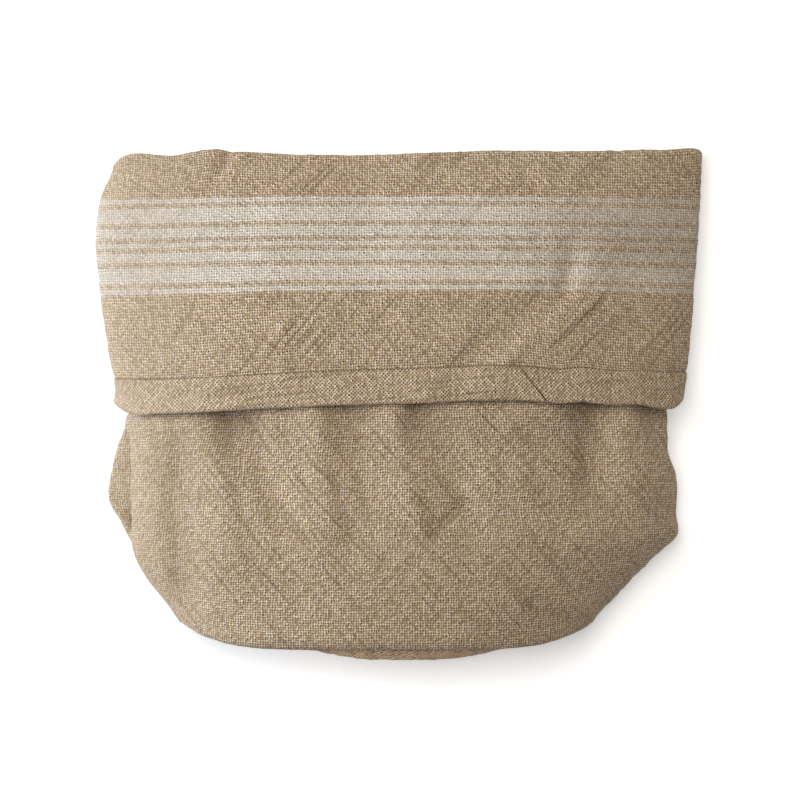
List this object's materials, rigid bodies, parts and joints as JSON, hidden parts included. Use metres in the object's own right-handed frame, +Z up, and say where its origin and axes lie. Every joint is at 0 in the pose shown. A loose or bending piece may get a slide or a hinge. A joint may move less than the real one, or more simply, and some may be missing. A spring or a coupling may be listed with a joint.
{
  "type": "linen bread bag",
  "caption": "Round-bottomed linen bread bag lying on its back, puffed, its mouth turned out and folded down into a deep striped cuff with a bound edge.",
  "frame": {"origin": "under the middle of the bag's overall box, at the surface it rests on", "axes": "+X across the bag, its longest extent; +Y from the base out through the mouth; +Z up from the resting back to the front, its shortest extent"},
  "size_m": [0.3038, 0.256, 0.0557],
  "materials": {
    "washed_linen": "coarse plain-woven natural linen, washed soft, with seven off-white woven stripes on the cuff",
    "bias_tape": "the same linen cut on the bias and pressed into tape",
    "base_linen": "the same natural linen, its grain set diagonally"
  },
  "bodies": {
    "root": {"bag_cloth": "washed_linen", "edge_binding": "bias_tape", "base_panel": "base_linen"}
  },
  "joints": []
}
